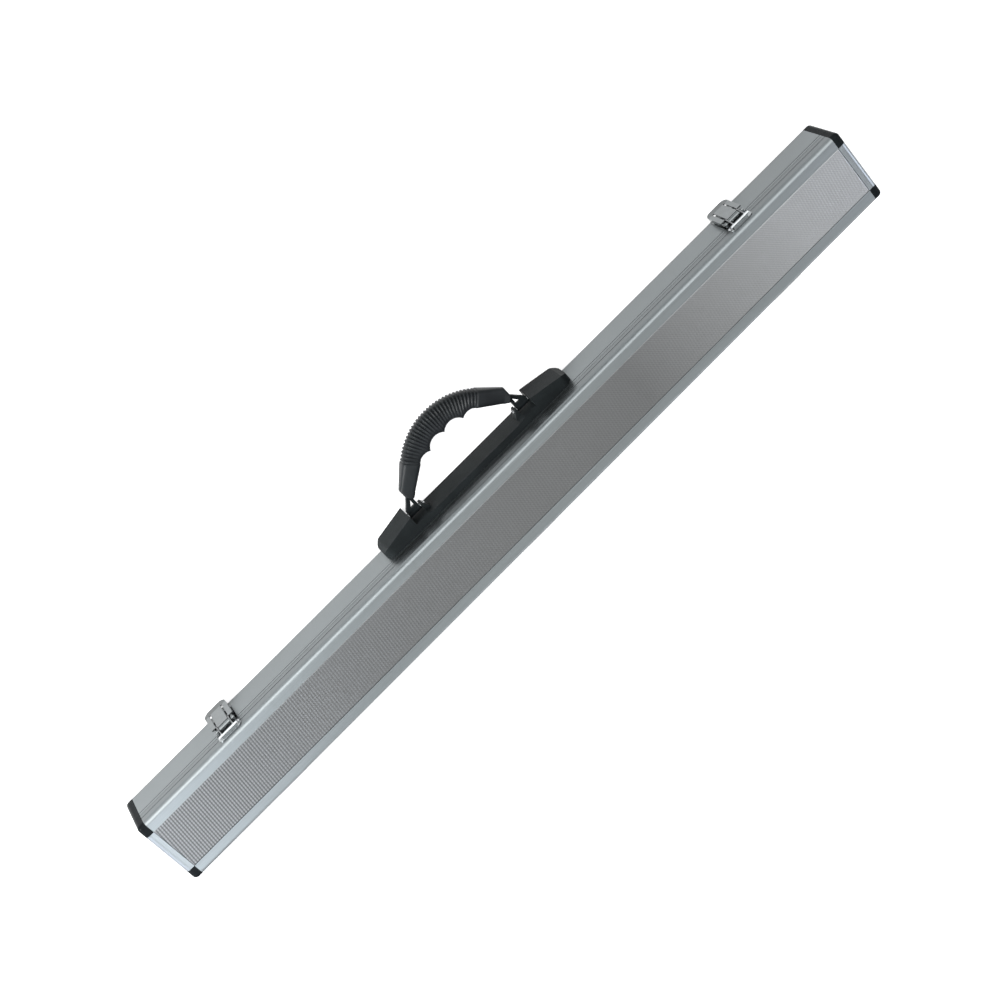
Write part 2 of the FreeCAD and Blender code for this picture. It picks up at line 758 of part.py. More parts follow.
def latch_keeper(end, name):
    """The plate on the lid, with the short lip that the hook's bar pulls on."""
    keeper = Piece(f"latch_{name}_keeper")
    sides = beside(end, "-latch_half_width", "latch_half_width")
    keeper.add("XZ_Plane", HALF_WIDTH, PLATE_FACE, rectangle(*sides, "keeper_bottom", "keeper_top"))
    keeper.round("keeper_corner", is_corner_at("keeper_top"))
    lip_sides = beside(end, "-keeper_lip_half_width", "keeper_lip_half_width")
    lip = rectangle(*lip_sides, "keeper_lip_bottom", "keeper_lip_top")
    keeper.add("XZ_Plane", HALF_WIDTH, "keeper_lip_out", lip)
    rivet_holes = holes_at(latch_places(end, KEEPER_RIVETS), "rivet_radius")
    keeper.cut("XZ_Plane", f"{HALF_WIDTH} - 1", f"{PLATE_FACE} + 2", *rivet_holes)


# ---------------------------------------------------------------- handle

SCREWS = [
    (f"{end} * {pitch}", "pivot_height")
    for end in (-1, 1)
    for pitch in ("screw_pitch_outer", "screw_pitch_inner")
]


def handle_base():
    """The plastic mount on the front wall: a low bar between two blocks that hold the pivot pins."""
    half = [
        ("handle_half_length", "0"),
        ("handle_half_length", "handle_end_rise"),
        ("handle_shoulder", "handle_shoulder_rise"),
        ("saddle_outer", "handle_block_rise"),
        ("saddle_outer", "saddle_rise"),
        ("saddle_inner", "saddle_rise"),
        ("bar_end", "handle_bar_rise"),
    ]
    corners = half + [(f"-({across})", rise) for across, rise in half[::-1]]
    outline = [(across, f"-({HALF_WIDTH} + {rise})") for across, rise in corners]
    mount = Piece("handle_mount")
    mount.add("XY_Plane", "handle_bottom", "handle_top", outline)
    reach = size("handle_half_length")
    mount.round("handle_corner", lambda edge, mid: along(edge, 1) and near(abs(mid.x), reach))
    hump = [
        ("saddle_inner", "wall"),
        ("saddle_inner", "hump_rise"),
        ("saddle_inner - hump_width", "hump_rise"),
        ("bar_end - hump_width", "handle_bar_rise - wall / 2"),
        ("bar_end - hump_width", "wall"),
    ]
    hump_heights = ("pivot_height - hump_half_height", "pivot_height + hump_half_height")
    for end, _ in ENDS:
        outline = [(f"{end} * ({across})", f"-({HALF_WIDTH} + {rise})") for across, rise in hump]
        mount.add("XY_Plane", *hump_heights, outline)
    pin_hole = (f"-({HANDLE_PIVOT})", "pivot_height", "handle_pin_radius")
    mount.cut("YZ_Plane", "pin_hole_inner", "handle_pin_outer", pin_hole)
    mount.cut("YZ_Plane", "-handle_pin_outer", "-pin_hole_inner", pin_hole)
    screw_ends = (HALF_WIDTH, f"{HALF_WIDTH} + handle_bar_rise - wall")
    mount.cut("XZ_Plane", *screw_ends, *holes_at(SCREWS, "screw_radius"))


def handle_screws():
    stages = [
        ("screw_head_height", "screw_head_radius", "screw_head_radius - 0.001"),
        ("handle_bar_rise", "screw_radius", "screw_radius - 0.001"),
    ]
    seat = f"{INNER_WALL} - screw_head_height"
    members = [fastener("handle_screw", -1, place, seat, stages) for place in SCREWS]
    fastener_group("handle_screws", members)


def swing_placement():
    """The handle's own frame: origin on the pivot line, -Y out along the drooping grip."""
    base = FreeCAD.Vector(0, -size(HANDLE_PIVOT), size("pivot_height"))
    return FreeCAD.Placement(base, FreeCAD.Rotation(FreeCAD.Vector(1, 0, 0), size("handle_droop")))


def handle_link(end, name):
    """A flat loop whose barrel turns on the pin and whose tang sits in the grip."""
    outer = [
        ("link_inner", "0"),
        ("link_outer", "0"),
        ("link_outer", "link_heel_outer"),
        ("link_tip_outer", "link_neck_outer"),
        ("link_tip_outer", "link_tip_reach"),
        ("link_tip_inner", "link_tip_reach"),
        ("link_tip_inner", "link_neck_inner"),
        ("link_inner", "link_heel_inner"),
    ]
    window = [
        ("link_inner + link_frame_inner", "link_window_start"),
        ("link_outer - link_frame_outer", "link_window_start"),
        ("link_inner + link_frame_inner", "link_window_end"),
    ]

    def swung(corners):
        return [(f"{end} * ({across})", f"-({reach})") for across, reach in corners]

    ends = ["link_inner", "link_outer"] if end > 0 else ["-link_outer", "-link_inner"]
    link = Piece(f"handle_{name}_link")
    link.add("XY_Plane", "-link_half_thickness", "link_half_thickness", swung(outer), swung(window))
    link.add("YZ_Plane", *ends, ("0", "0", "barrel_radius"))
    bore = ("0", "0", "handle_pin_radius + running_gap")
    link.cut("YZ_Plane", f"{ends[0]} - 1", f"{ends[1]} + 1", bore)
    link.body.Placement = swing_placement()


GRIP_DEPTH = "sqrt(grip_arc_radius ^ 2 - grip_arc_half_span ^ 2)"
GRIP_SHOULDER = f"grip_arc_centre + {GRIP_DEPTH}"
GRIP_CORNER = f"{GRIP_SHOULDER} - (grip_end - grip_arc_half_span) * grip_arc_half_span / {GRIP_DEPTH}"


def grip_half(side):
    """One half's outline: the straight end, its tip, and the finger hollows up to the middle cusp."""

    def spot(across, reach):
        return FreeCAD.Vector(side * size(across), -size(reach), 0)

    shoulder = spot("grip_arc_half_span", GRIP_SHOULDER)
    corners = [
        shoulder,
        spot("grip_end", GRIP_CORNER),
        spot("grip_end", "grip_end_reach"),
        spot("grip_tip_offset", "grip_tip_reach"),
        spot("grip_heel_offset", "grip_heel_reach"),
    ]
    side_cusp = spot("grip_cusp_offset", "grip_side_cusp_reach")
    end_hollow = spot("grip_end_hollow_offset", "grip_end_hollow_reach")
    hollow = spot("grip_hollow_offset", "grip_hollow_reach")
    middle_cusp = spot("0", "grip_middle_cusp_reach")
    edges = [Part.makeLine(start, finish) for start, finish in zip(corners, corners[1:])]
    edges.append(Part.Arc(corners[-1], end_hollow, side_cusp).toShape())
    edges.append(Part.Arc(side_cusp, hollow, middle_cusp).toShape())
    return shoulder, edges


def grip_shape():
    """The arched grip: a round back, four finger hollows with sharp cusps, and tapered ends."""
    crown = FreeCAD.Vector(0, -size("grip_arc_centre + grip_arc_radius"), 0)
    right_shoulder, right_edges = grip_half(1)
    left_shoulder, left_edges = grip_half(-1)
    back = Part.Arc(left_shoulder, crown, right_shoulder).toShape()
    outline = Part.Wire(Part.__sortEdges__([back] + right_edges + left_edges))
    thick, thin = size("grip_half_thickness"), size("grip_tip_half_thickness")
    face = Part.Face(outline)
    face.translate(FreeCAD.Vector(0, 0, -thick))
    arch = face.extrude(FreeCAD.Vector(0, 0, 2 * thick))

    span, beyond = size("grip_arc_half_span"), size("grip_end + 1")
    upper = [(-beyond, thin), (-span, thick), (span, thick), (beyond, thin)]
    lower = [(across, -lift) for across, lift in upper[::-1]]
    corners = [FreeCAD.Vector(across, 0, lift) for across, lift in upper + lower]
    plan = Part.Face(Part.makePolygon(corners + corners[:1]))
    grip = arch.common(plan.extrude(FreeCAD.Vector(0, 2 * crown.y, 0)))

    low, high, tip = size("link_tip_inner"), size("link_tip_outer"), size("link_tip_reach")
    half = size("link_half_thickness")
    for start in (low, -high):
        socket = Part.makeBox(high - low, tip, 2 * half, FreeCAD.Vector(start, -tip, -half))
        grip = grip.cut(socket)
    return grip


def handle_grip():
    grip = doc.addObject("Part::Feature", "handle_grip")
    grip.Label = "handle_grip"
    grip.Shape = grip_shape()
    grip.Placement = swing_placement()
    parts.append(grip)


# ---------------------------------------------------------------- the whole case

plate_holes = holes_at(all_latch_places(PLATE_RIVETS), "rivet_radius")
keeper_holes = holes_at(all_latch_places(KEEPER_RIVETS), "rivet_radius")
hinge_holes = {half: holes_at(hinge_places(half), "rivet_radius") for half in HINGE_ROWS}

base_rail(-1, "front", plate_holes + holes_at(SCREWS, "screw_radius"))
base_rail(1, "back", hinge_holes["base"])
lid_rail(-1, "front", keeper_holes)
lid_rail(1, "back", hinge_holes["lid"])
panel("base", from_base)
panel("lid", from_lid)

HALVES = [
    ("base", from_base, BASE_TOP, ("flange_top + 0.2", "tongue_root - 1")),
    ("lid", from_lid, LID_BOTTOM, ("tongue_top + 0.6", "case_height - flange_top - 0.2")),
]
for half_name, height, rim_height, plug_heights in HALVES:
    for end, end_name in ENDS:
        end_rail(half_name, end, end_name, height, rim_height)
        for side, side_name in SIDES:
            corner_cap(half_name, side, side_name, end, end_name, height, rim_height, plug_heights)

foam_insert()
foam_pad()

for position, hinge_name in ((-1, "left"), (0, "centre"), (1, "right")):
    hinge(position, hinge_name)
rivet_group("hinge_base_rivets", 1, hinge_places("base"), "hinge_leaf")
rivet_group("hinge_lid_rivets", 1, hinge_places("lid"), "hinge_leaf")

for end, end_name in ENDS:
    latch_plate(end, end_name)
    latch_lever(end, end_name)
    latch_hook(end, end_name)
    latch_pins(end, end_name)
    latch_keeper(end, end_name)
rivet_group("latch_plate_rivets", -1, all_latch_places(PLATE_RIVETS), "latch_plate")
rivet_group("latch_keeper_rivets", -1, all_latch_places(KEEPER_RIVETS), "latch_plate")

handle_base()
handle_screws()
handle_grip()
for end, end_name in ENDS:
    handle_link(end, end_name)
    reach = ("handle_pin_inner", "handle_pin_outer")
    if end < 0:
        reach = ("-handle_pin_outer", "-handle_pin_inner")
    pivot = (f"-({HANDLE_PIVOT})", "pivot_height")
    parts.append(axle(f"handle_{end_name}_pin", *reach, "handle_pin_radius", *pivot))

doc.recompute()

for item in doc.Objects:
    if "Invalid" in item.State or "Error" in item.State:
        raise RuntimeError(f"{item.Label} did not build: {item.State}")
for part in parts:
    if part.Shape.isNull() or not part.Shape.isValid():
        raise RuntimeError(f"{part.Label} has no valid shape")

os.makedirs("parts", exist_ok=True)
for part in parts:
    part.Shape.exportStep(f"parts/{part.Label}.step")
print(len(parts), "parts written")
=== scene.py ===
"""Looks of an aluminium cue case: embossed panels, satin rails, moulded caps and handle, chrome latches.

Everything is in metres in the part's own frame: +X along the length, -Y the front, +Z up.
"""
import json
import math

import bmesh
import bpy
import numpy as np
from mathutils import Matrix, Vector


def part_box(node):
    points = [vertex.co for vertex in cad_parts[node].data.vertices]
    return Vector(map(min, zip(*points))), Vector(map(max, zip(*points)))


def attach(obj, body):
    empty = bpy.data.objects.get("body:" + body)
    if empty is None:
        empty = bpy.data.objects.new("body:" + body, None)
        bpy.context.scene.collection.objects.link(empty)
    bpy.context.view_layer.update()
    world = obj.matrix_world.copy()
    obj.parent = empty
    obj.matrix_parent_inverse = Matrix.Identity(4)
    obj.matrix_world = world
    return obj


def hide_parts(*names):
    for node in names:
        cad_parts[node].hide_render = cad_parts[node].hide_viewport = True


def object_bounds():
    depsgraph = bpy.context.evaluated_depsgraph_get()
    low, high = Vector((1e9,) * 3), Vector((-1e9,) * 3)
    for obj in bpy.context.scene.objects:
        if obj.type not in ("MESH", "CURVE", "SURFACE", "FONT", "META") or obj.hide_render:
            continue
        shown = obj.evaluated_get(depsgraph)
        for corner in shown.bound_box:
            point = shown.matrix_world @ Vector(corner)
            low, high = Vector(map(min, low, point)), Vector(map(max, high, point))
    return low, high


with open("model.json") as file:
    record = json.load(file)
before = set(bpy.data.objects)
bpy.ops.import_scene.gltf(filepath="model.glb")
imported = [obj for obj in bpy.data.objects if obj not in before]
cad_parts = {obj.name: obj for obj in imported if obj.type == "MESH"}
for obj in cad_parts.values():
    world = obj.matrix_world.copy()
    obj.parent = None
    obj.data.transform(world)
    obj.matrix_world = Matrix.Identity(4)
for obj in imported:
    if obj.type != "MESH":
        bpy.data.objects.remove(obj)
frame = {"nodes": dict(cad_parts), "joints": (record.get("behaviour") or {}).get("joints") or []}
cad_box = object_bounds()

MM = 0.001
TAU = 2 * math.pi


# ---------------------------------------------------------------- camera


def look_from(target, distance, azimuth, elevation, roll, lens):
    """A camera at an azimuth from the front and an elevation, turned about its own line of sight."""
    turn, rise = math.radians(azimuth), math.radians(elevation)
    away = Vector((
        math.sin(turn) * math.cos(rise),
        -math.cos(turn) * math.cos(rise),
        math.sin(rise),
    ))
    data = bpy.data.cameras.new("camera")
    data.lens = lens
    data.sensor_width = 36
    camera = bpy.data.objects.new("camera", data)
    bpy.context.scene.collection.objects.link(camera)
    upright = away.to_track_quat("Z", "Y").to_matrix().to_4x4()
    camera.matrix_world = (
        Matrix.Translation(Vector(target) + away * distance)
        @ upright
        @ Matrix.Rotation(math.radians(roll), 4, "Z")
    )
    bpy.context.scene.camera = camera


look_from(
    target=(0.00615, -0.0023, 0.026),
    distance=1.8004,
    azimuth=5.54,
    elevation=62.12,
    roll=130.14,
    lens=75.6,
)


# ---------------------------------------------------------------- materials


class Surface:
    """A material under construction: short names for the nodes that the finishes share."""

    def __init__(self, name, colour, roughness, metallic=0.0):
        self.material = bpy.data.materials.new(name)
        self.material.use_nodes = True
        self.nodes = self.material.node_tree.nodes
        self.links = self.material.node_tree.links
        self.shader = self.nodes["Principled BSDF"]
        self.shader.inputs["Base Color"].default_value = (*colour, 1)
        self.shader.inputs["Roughness"].default_value = roughness
        self.shader.inputs["Metallic"].default_value = metallic
        self.colour = colour
        self.place = self.nodes.new("ShaderNodeTexCoord").outputs["Object"]
        self.normal = None

    def noise(self, scale, stretch=(1, 1, 1), detail=4, roughness=0.55):
        """Soft noise from 0 to 1, finer along an axis whose stretch is larger."""
        mapping = self.nodes.new("ShaderNodeMapping")
        mapping.inputs["Scale"].default_value = stretch
        self.links.new(self.place, mapping.inputs["Vector"])
        texture = self.nodes.new("ShaderNodeTexNoise")
        texture.inputs["Scale"].default_value = scale
        texture.inputs["Detail"].default_value = detail
        texture.inputs["Roughness"].default_value = roughness
        self.links.new(mapping.outputs["Vector"], texture.inputs["Vector"])
        return texture.outputs["Fac"]

    def cells(self, scale):
        """The distance from the middle of the nearest of many small cells."""
        texture = self.nodes.new("ShaderNodeTexVoronoi")
        texture.inputs["Scale"].default_value = scale
        self.links.new(self.place, texture.inputs["Vector"])
        return texture.outputs["Distance"]

    def coordinate(self, axis):
        """The place along X, Y or Z in the object's own frame, in metres."""
        node = self.nodes.new("ShaderNodeSeparateXYZ")
        self.links.new(self.place, node.inputs["Vector"])
        return node.outputs[axis]

    def attribute(self, name):
        """A value that the mesh carries at each of its points."""
        node = self.nodes.new("ShaderNodeAttribute")
        node.attribute_name = name
        return node.outputs["Fac"]

    def spread(self, value, low, high, start=0.3, end=0.7):
        """Map a value between start and end onto low to high."""
        node = self.nodes.new("ShaderNodeMapRange")
        node.inputs["From Min"].default_value = start
        node.inputs["From Max"].default_value = end
        node.inputs["To Min"].default_value = low
        node.inputs["To Max"].default_value = high
        self.links.new(value, node.inputs["Value"])
        return node.outputs["Result"]

    def tint(self, *shares):
        """Multiply the base colour by every share."""
        product = shares[0]
        for share in shares[1:]:
            times = self.nodes.new("ShaderNodeMath")
            times.operation = "MULTIPLY"
            self.links.new(product, times.inputs[0])
            self.links.new(share, times.inputs[1])
            product = times.outputs["Value"]
        mix = self.nodes.new("ShaderNodeMix")
        mix.data_type = "RGBA"
        mix.clamp_factor = False
        mix.inputs["A"].default_value = (0, 0, 0, 1)
        mix.inputs["B"].default_value = (*self.colour, 1)
        self.links.new(product, mix.inputs["Factor"])
        self.links.new(mix.outputs["Result"], self.shader.inputs["Base Color"])

    def rough(self, value):
        self.links.new(value, self.shader.inputs["Roughness"])

    def bump(self, height, distance, strength):
        """Add a layer of bump over those already there."""
        node = self.nodes.new("ShaderNodeBump")
        node.inputs["Distance"].default_value = distance
        node.inputs["Strength"].default_value = strength
        self.links.new(height, node.inputs["Height"])
        if self.normal is not None:
            self.links.new(self.normal, node.inputs["Normal"])
        self.normal = node.outputs["Normal"]
        self.links.new(self.normal, self.shader.inputs["Normal"])

    def set(self, **sockets):
        """Set constants on the shader's own sockets, with _ for a space in a socket's name."""
        for name, value in sockets.items():
            self.shader.inputs[name.replace("_", " ")].default_value = value


LID_FACE = cad_box[1][2]
LID_WALL_TOP = LID_FACE - 3.5 * MM
# Painted light brightens the panels from PALE_START towards -X, up to PALE_SHARE times the colour at
# PALE_END.
PALE_SHARE = 2.0
PALE_END = -335 * MM
PALE_START = -145 * MM


def satin_aluminium(name, colour, wall_shade_share=1.0):
    """Anodised extrusion with long fine draw lines and faint clouding.

    Walls below the lid's rounded edge are painted darker, to a given share of the colour of the lid's
    face, as painted shade.
    """
    s = Surface(name, colour, 0.33, metallic=1.0)
    lines = s.noise(1, stretch=(6, 2600, 2600), detail=3)
    clouds = s.noise(9, stretch=(0.4, 1, 1), detail=3)
    specks = s.noise(900, detail=2)
    painted_wall_shade = s.spread(s.coordinate("Z"), wall_shade_share, 1.0, LID_WALL_TOP, LID_FACE)
    s.tint(s.spread(lines, 0.95, 1.05), s.spread(clouds, 0.94, 1.06), painted_wall_shade)
    s.rough(s.spread(lines, 0.29, 0.40))
    s.bump(lines, 0.03 * MM, 0.5)
    s.bump(specks, 0.02 * MM, 0.35)
    return s.material


def embossed_aluminium():
    """The panels' foil: painted highlights on the bars and painted shade in the valleys between them, and
    painted light that makes it paler towards the -X end.
    """
    s = Surface("embossed_aluminium", (0.158, 0.162, 0.163), 0.34, metallic=1.0)
    # The emboss attribute holds the painted shading of the embossing, not its height.
    height = s.attribute("emboss")
    clouds = s.noise(7, stretch=(0.5, 1, 1), detail=3)
    grain = s.noise(2200, detail=2)
    s.tint(
        s.spread(height, 0.42, 1.50, 0.0, 1.0),
        s.spread(clouds, 0.95, 1.05),
        s.spread(grain, 0.95, 1.05),
        s.spread(s.coordinate("X"), PALE_SHARE, 1.0, PALE_END, PALE_START),
    )
    s.rough(s.spread(height, 0.42, 0.28, 0.0, 1.0))
    s.bump(grain, 0.03 * MM, 0.5)
    return s.material


def moulded_plastic(name, colour, roughness, grain_depth, specular):
    """Black moulded plastic with a spark-eroded grain and a little handling dust."""
    s = Surface(name, colour, roughness)
    grain = s.cells(2600)
    dust = s.noise(60, detail=6, roughness=0.65)
    patches = s.noise(14, detail=3)
    s.tint(s.spread(dust, 0.85, 1.3), s.spread(patches, 0.9, 1.15))
    s.rough(s.spread(patches, roughness - 0.05, roughness + 0.08))
    s.bump(grain, grain_depth, 0.6)
    s.bump(dust, grain_depth, 0.3)
    s.set(Specular_IOR_Level=specular)
    return s.material


def chrome(name, colour, painted_shade_share=1.0, shade_fade=(0, 50 * MM)):
    """Bright plating over stamped steel: faint waviness, smudges and hairline scratches.

    Below a given pair of heights it is painted darker, to a given share of its colour, as painted shade.
    """
    s = Surface(name, colour, 0.14, metallic=1.0)
    smudges = s.noise(160, detail=4)
    waves = s.noise(90, detail=2)
    scratches = s.noise(1, stretch=(260, 260, 5200), detail=2)
    s.tint(
        s.spread(smudges, 0.90, 1.04),
        s.spread(scratches, 0.97, 1.02),
        s.spread(s.coordinate("Z"), painted_shade_share, 1.0, *shade_fade),
    )
    s.rough(s.spread(smudges, 0.08, 0.24))
    s.bump(waves, 0.1 * MM, 0.25)
    s.bump(scratches, 0.02 * MM, 0.25)
    return s.material


def plated_steel():
    """Zinc-plated steel of the hinges, pins, rivets and screws, rubbed in places."""
    s = Surface("plated_steel", (0.36, 0.37, 0.38), 0.3, metallic=1.0)
    rubbed = s.noise(220, detail=5)
    lines = s.noise(1, stretch=(400, 4200, 400), detail=2)
    s.tint(s.spread(rubbed, 0.85, 1.06), s.spread(lines, 0.96, 1.03))
    s.rough(s.spread(rubbed, 0.22, 0.42))
    s.bump(lines, 0.03 * MM, 0.4)
    return s.material


def plush_foam():
    """The lining: charcoal foam under a short nap that catches light at grazing angles."""
    s = Surface("plush_foam", (0.018, 0.018, 0.021), 0.95)
    nap = s.noise(1300, detail=4, roughness=0.7)
    strokes = s.noise(70, stretch=(0.4, 1, 1), detail=4)
    s.tint(s.spread(nap, 0.55, 1.7), s.spread(strokes, 0.75, 1.35))
    s.bump(nap, 0.6 * MM, 0.9)
    s.set(Sheen_Weight=0.35, Sheen_Roughness=0.45, Sheen_Tint=(0.5, 0.5, 0.55, 1))
    return s.material


def hardboard():
    """The panels' core: pressed brown fibres."""
    s = Surface("hardboard", (0.20, 0.125, 0.07), 0.8)
    fibres = s.noise(1, stretch=(300, 900, 900), detail=5, roughness=0.7)
    flecks = s.noise(1500, detail=3)
    s.tint(s.spread(fibres, 0.7, 1.3), s.spread(flecks, 0.85, 1.15))
    s.bump(fibres, 0.2 * MM, 0.5)
    return s.material


# The base rails are darker than the lid's face as painted shade on their front walls.
BASE_ALUMINIUM = satin_aluminium("base_aluminium", (0.142, 0.156, 0.160))
END_ALUMINIUM = satin_aluminium("end_aluminium", (0.235, 0.255, 0.262))
# Its walls below the rounded edge are darkened as painted shade.
LID_ALUMINIUM = satin_aluminium("lid_aluminium", (0.213, 0.234, 0.240), wall_shade_share=0.54)
EMBOSSED = embossed_aluminium()
CAP_PLASTIC = moulded_plastic(
    "cap_plastic", (0.0042, 0.0052, 0.0057), roughness=0.22, grain_depth=0.03 * MM, specular=0.02
)
MOUNT_PLASTIC = moulded_plastic(
    "mount_plastic", (0.0060, 0.0073, 0.0077), roughness=0.42, grain_depth=0.06 * MM, specular=0.03
)
GRIP_PLASTIC = moulded_plastic(
    "grip_plastic", (0.0068, 0.0078, 0.0084), roughness=0.4, grain_depth=0.05 * MM, specular=0.08
)
# The lever's lower end and the hook's legs below its bar are darkened as painted shade.
LEVER_CHROME = chrome("lever_chrome", (0.150, 0.161, 0.164), painted_shade_share=0.62, shade_fade=(8 * MM, 10 * MM))
HOOK_CHROME = chrome("hook_chrome", (0.46, 0.48, 0.49), painted_shade_share=0.3, shade_fade=(44.5 * MM, 45.5 * MM))
KEEPER_CHROME = chrome("keeper_chrome", (0.24, 0.255, 0.26))
STEEL = plated_steel()
PLUSH = plush_foam()
BOARD = hardboard()


# ---------------------------------------------------------------- mesh helpers


def dress(piece, material):
    """Give a piece, CAD node or new one, a single material."""
    piece.data.materials.clear()
    piece.data.materials.append(material)


def new_piece(name, vertices, faces, body, material):
    """A smooth-shaded mesh in one material, riding on a body."""
    mesh = bpy.data.meshes.new(name)
    mesh.from_pydata([tuple(v) for v in vertices], [], [list(f) for f in faces])
    mesh.validate()
    mesh.shade_smooth()
    piece = bpy.data.objects.new(name, mesh)
    bpy.context.scene.collection.objects.link(piece)
    dress(piece, material)
    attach(piece, body)
    return piece


def soften_edges(piece, width):
    """Break the sharp edges of a stamped or moulded piece so that they catch the light."""
    bevel = piece.modifiers.new("edges", "BEVEL")
    bevel.width = width
    bevel.segments = 2
    bevel.limit_method = "ANGLE"
    bevel.angle_limit = math.radians(30)
    bevel.harden_normals = True


def apply_modifiers(piece):
    graph = bpy.context.evaluated_depsgraph_get()
    mesh = bpy.data.meshes.new_from_object(piece.evaluated_get(graph))
    piece.modifiers.clear()
    piece.data = mesh


def recalculate_normals(piece):
    mesh = bmesh.new()
    mesh.from_mesh(piece.data)
    bmesh.ops.recalc_face_normals(mesh, faces=mesh.faces)
    mesh.to_mesh(piece.data)
    mesh.free()


# ---------------------------------------------------------------- embossed panels

# Rows of bars cross the case. They stand PITCH_ALONG apart and lean by LEAN along X for each unit of Y.
# In a row the bars repeat at PITCH_ACROSS, and a dip is the share of height, or of painted shading, lost
# between two of them. A power below 1 makes the bars wider than the valleys beside them.
PITCH_ALONG = 2.6 * MM
PITCH_ACROSS = 2.75 * MM
EMBOSS_HEIGHT = 0.14 * MM
LEAN = 0.123
BAR_POWER = 0.8
HEIGHT_DIP = 0.8
PAINTED_SHADE_DIP = 0.4
# How far a panel reaches past its CAD skin, at the front and at the rear.
PANEL_SPREAD = 0.07 * MM
SAMPLES_PER_PITCH = 4
# The painted shading shows the bars themselves at the +X end and fades to fine slanting lines elsewhere.
SLANT_SHARE = 0.12
BARS_START = 170 * MM
BARS_FADE = 160 * MM


def emboss(x, y):
    """The height of the embossing and its painted shading at each place, both from 0 to 1."""
    ridges = (0.5 - 0.5 * np.cos(TAU * (x - LEAN * y) / PITCH_ALONG)) ** BAR_POWER
    gaps = 0.5 + 0.5 * np.cos(TAU * y / PITCH_ACROSS)
    height = ridges * (1 - HEIGHT_DIP * gaps)
    bars = ridges * (1 - PAINTED_SHADE_DIP * gaps)
    slant = 0.5 + SLANT_SHARE * np.cos(TAU * (x / PITCH_ALONG + y / PITCH_ACROSS))
    share_of_bars = np.clip((x - BARS_START) / BARS_FADE, 0, 1)
    return height, slant + (bars - slant) * share_of_bars


def panel_faces(columns, rows):
    """The faces of a thin slab with a grid on top and two rows of points, front and rear, at its back."""
    def top(i, j):
        return i * (rows + 1) + j

    def front(i):
        return (columns + 1) * (rows + 1) + i

    def rear(i):
        return front(columns + 1) + i

    faces = []
    for i in range(columns):
        faces += [(top(i, j), top(i + 1, j), top(i + 1, j + 1), top(i, j + 1)) for j in range(rows)]
        faces.append((front(i), front(i + 1), top(i + 1, 0), top(i, 0)))
        faces.append((rear(i + 1), rear(i), top(i, rows), top(i + 1, rows)))
        faces.append((rear(i), rear(i + 1), front(i + 1), front(i)))
    faces.append([top(0, j) for j in range(rows + 1)] + [rear(0), front(0)])
    faces.append([top(columns, j) for j in range(rows, -1, -1)] + [front(columns), rear(columns)])
    return faces


def embossed_panel(half, up):
    """A skin covered with small raised bars in rows across the case. It faces up (1) or down (-1)."""
    node = f"{half}_panel_skin"
    low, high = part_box(node)
    low.y -= PANEL_SPREAD
    high.y += PANEL_SPREAD
    face, back = (high.z, low.z) if up > 0 else (low.z, high.z)
    columns = round((high.x - low.x) / PITCH_ALONG) * SAMPLES_PER_PITCH
    rows = round((high.y - low.y) / PITCH_ACROSS) * SAMPLES_PER_PITCH
    along = np.linspace(low.x, high.x, columns + 1)
    across = np.linspace(low.y, high.y, rows + 1)
    x, y = np.meshgrid(along, across, indexing="ij")
    height, painted_shading = emboss(x, y)
    top = np.stack([x, y, face + up * (height - 0.5) * EMBOSS_HEIGHT], -1).reshape(-1, 3)
    behind = [(place, side, back) for side in (low.y, high.y) for place in along]
    faces = panel_faces(columns, rows)
    if up < 0:
        faces = [loop[::-1] for loop in faces]
    vertices = np.concatenate([top, behind])
    panel = new_piece(f"{half}_embossed_panel", vertices, faces, half, EMBOSSED)
    # The mesh carries the painted shading that the foil's colour follows.
    values = np.concatenate([painted_shading.reshape(-1), np.zeros(len(behind))]).astype(np.float32)
    panel.data.attributes.new("emboss", "FLOAT", "POINT").data.foreach_set("value", values)
    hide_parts(node)


# ---------------------------------------------------------------- handle

PIVOT = Vector(next(j["pos_m"] for j in frame["joints"] if j["name"] == "handle_swing"))
DROOP = math.radians(6.8)

# The grip's outline in millimetres: along the case, and outwards from the pivot.
ARC_RADIUS = 65.3
ARC_CENTRE = -8.3
ARC_HALF_SPAN = 45
GRIP_END = 62.3
END_FACE_REACH = 14.9
MIDDLE_CUSP = (0, 31.9)
HOLLOW = (9.5, 35.6)
SIDE_CUSP = (19.2, 28.8)
END_HOLLOW = (24, 30.6)
HEEL = (30, 29.8)
TIP = (57.2, 9.0)
# The finger side's last stretch at each end, next to the slanted end face.
TIP_START = (52.4, 12.2)
TIP_RUN = (4.8, -3.1)

# Its thickness and ribs, in millimetres. The ribs fade out over RIB_FADE_RUN at each end of the arc, and
# round the section towards the finger side: RIB_WRAP moves that fade inwards.
HALF_THICKNESS = 9.3
END_THINNING = 4.4
RIB_PITCH = 3.35
RIB_DEPTH = 1.25
RIB_POWER = 0.7
RIB_FADE_RUN = 2
RIB_WRAP = 0.75

# Its section is an ellipse at a power of 1 and nears a rectangle towards 0. Ribs add to the power.
SMOOTH_POWER = 0.5
RIBBED_EXTRA_POWER = 0.22

# How finely it is drawn.
ARC_POINTS = 40
STRAIGHT_POINTS = 60
STATIONS = 521
POINTS_AROUND = 44
TIP_SHARES = (0.2, 0.45, 0.7, 0.9, 1.0)


def out_of_handle(x, reach, lift):
    """A place given along X, outwards from the pivot and upwards from the grip, in the part's frame."""
    return PIVOT + Vector((
        x,
        -reach * math.cos(DROOP) - lift * math.sin(DROOP),
        -reach * math.sin(DROOP) + lift * math.cos(DROOP),
    )) * MM


